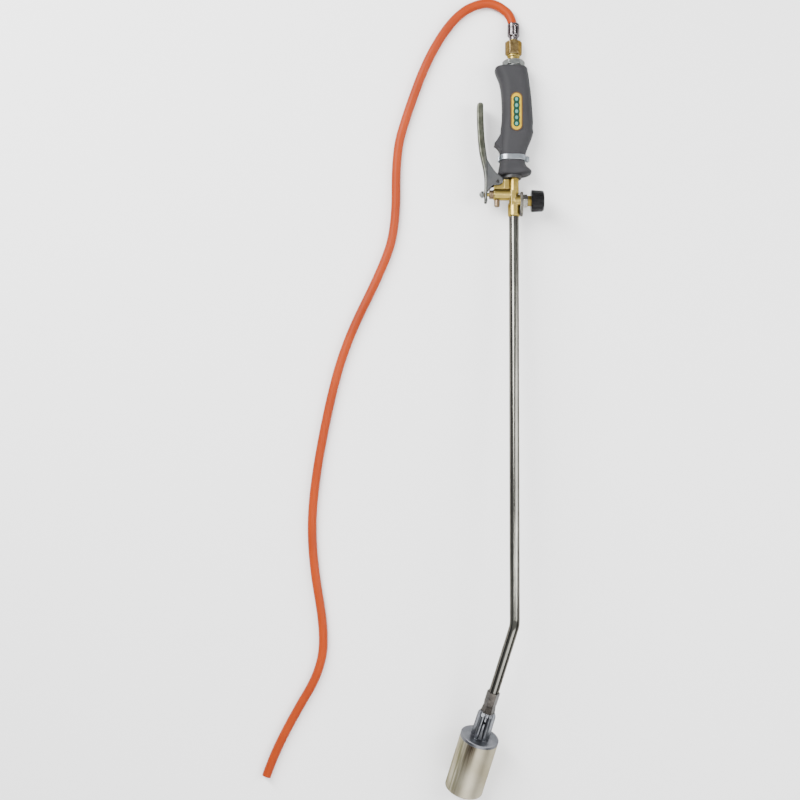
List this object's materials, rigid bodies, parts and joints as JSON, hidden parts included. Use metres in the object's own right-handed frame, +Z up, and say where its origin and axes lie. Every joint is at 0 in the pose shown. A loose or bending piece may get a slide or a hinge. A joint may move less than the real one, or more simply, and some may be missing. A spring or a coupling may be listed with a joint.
{
  "type": "propane torch",
  "caption": "Hand-held propane torch: hose, grip with trigger lever, brass valve with pilot knob, cranked steel lance and round flame shroud.",
  "frame": {"origin": "centre of the footprint of the torch without its hose, on the ground it lies on", "axes": "+Y from the flame shroud towards the hose fitting, +Z up from the ground, +X towards the pilot knob"},
  "size_m": [0.3665, 1.0396, 0.1026],
  "materials": {
    "hose": "smooth extruded rubber",
    "ferrule_steel": "pressed, semi-bright",
    "brass": "machined",
    "dark_brass": "browned",
    "fibre": "fibre washer",
    "zinc": "zinc plated",
    "grip_plastic": "moulded, fine satin",
    "dark_plastic": "moulded",
    "band_steel": "satin plated strip",
    "badge_orange": "printed rim",
    "badge_yellow": "printed field",
    "badge_green": "printed bars",
    "lever_metal": "cast, tumbled",
    "pin_steel": "dull",
    "black_rubber": "seal",
    "spring_steel": "drawn wire",
    "plated": "bright plating",
    "knob_plastic": "moulded",
    "lance_steel": "polished tube",
    "dark_steel": "blackened",
    "neck_casting": "grey cast",
    "stainless": "polished stainless"
  },
  "bodies": {
    "torch": {"hose": "hose", "hose_ferrule": "ferrule_steel", "hose_tail": "brass", "union_nut": "brass", "union_washer": "fibre", "inlet_nipple": "brass", "handle_tube": "pin_steel", "top_locknut": "zinc", "top_washer": "zinc", "grip": "grip_plastic", "grip_end_cap": "dark_plastic", "grip_band": "band_steel", "band_pin": "pin_steel", "badge_rim": "badge_orange", "badge_plate": "badge_yellow", "badge_marks": "badge_green", "lever_pin": "pin_steel", "valve_body": "brass", "chamber_plug": "dark_brass", "gland_nut": "dark_brass", "stem_oring": "black_rubber", "return_spring": "spring_steel", "bonnet_plate": "zinc", "pilot_bonnet": "plated", "pilot_gland": "brass", "pilot_oring": "black_rubber", "lance_tube": "lance_steel", "burner_nut": "dark_steel", "jet_collar": "dark_steel", "gas_jet": "brass", "burner_neck": "neck_casting", "flame_holder": "dark_steel", "flame_shroud": "stainless"},
    "lever": {"lever": "lever_metal"},
    "stem": {"valve_stem": "brass", "seal_disc": "black_rubber", "stem_nut": "zinc"},
    "pilot_needle": {"pilot_spindle": "brass"},
    "pilot_knob": {"pilot_knob": "knob_plastic", "knob_screw": "pin_steel"}
  },
  "joints": [
    {"name": "lever_squeeze", "type": "hinge", "parent": "torch", "child": "lever", "pos_m": [0.00413, 0.29173, 0.0333], "axis": [-0.0007, -0.1122, -0.9937], "range_deg": [0, 10], "stiffness_Nm_per_rad": 1.5, "springref_deg": -5.73},
    {"name": "stem_slide", "type": "slide", "parent": "torch", "child": "stem", "axis": [-1, 0.0066, 0], "range_m": [0, 0.0034], "deforming": ["return_spring"]},
    {"name": "needle_slide", "type": "slide", "parent": "torch", "child": "pilot_needle", "axis": [1, -0.0066, 0], "range_m": [0, 0.00091667]},
    {"name": "knob_turn", "type": "hinge", "parent": "pilot_needle", "child": "pilot_knob", "pos_m": [0.05467, 0.26735, 0.03601], "axis": [1, -0.0066, 0], "range_deg": [0, 330]}
  ],
  "couplings": [
    {"joint": "stem_slide", "follows": "lever_squeeze", "m_per_rad": 0.019},
    {"joint": "knob_turn", "follows": "needle_slide", "rad_per_m": 6283.2}
  ]
}
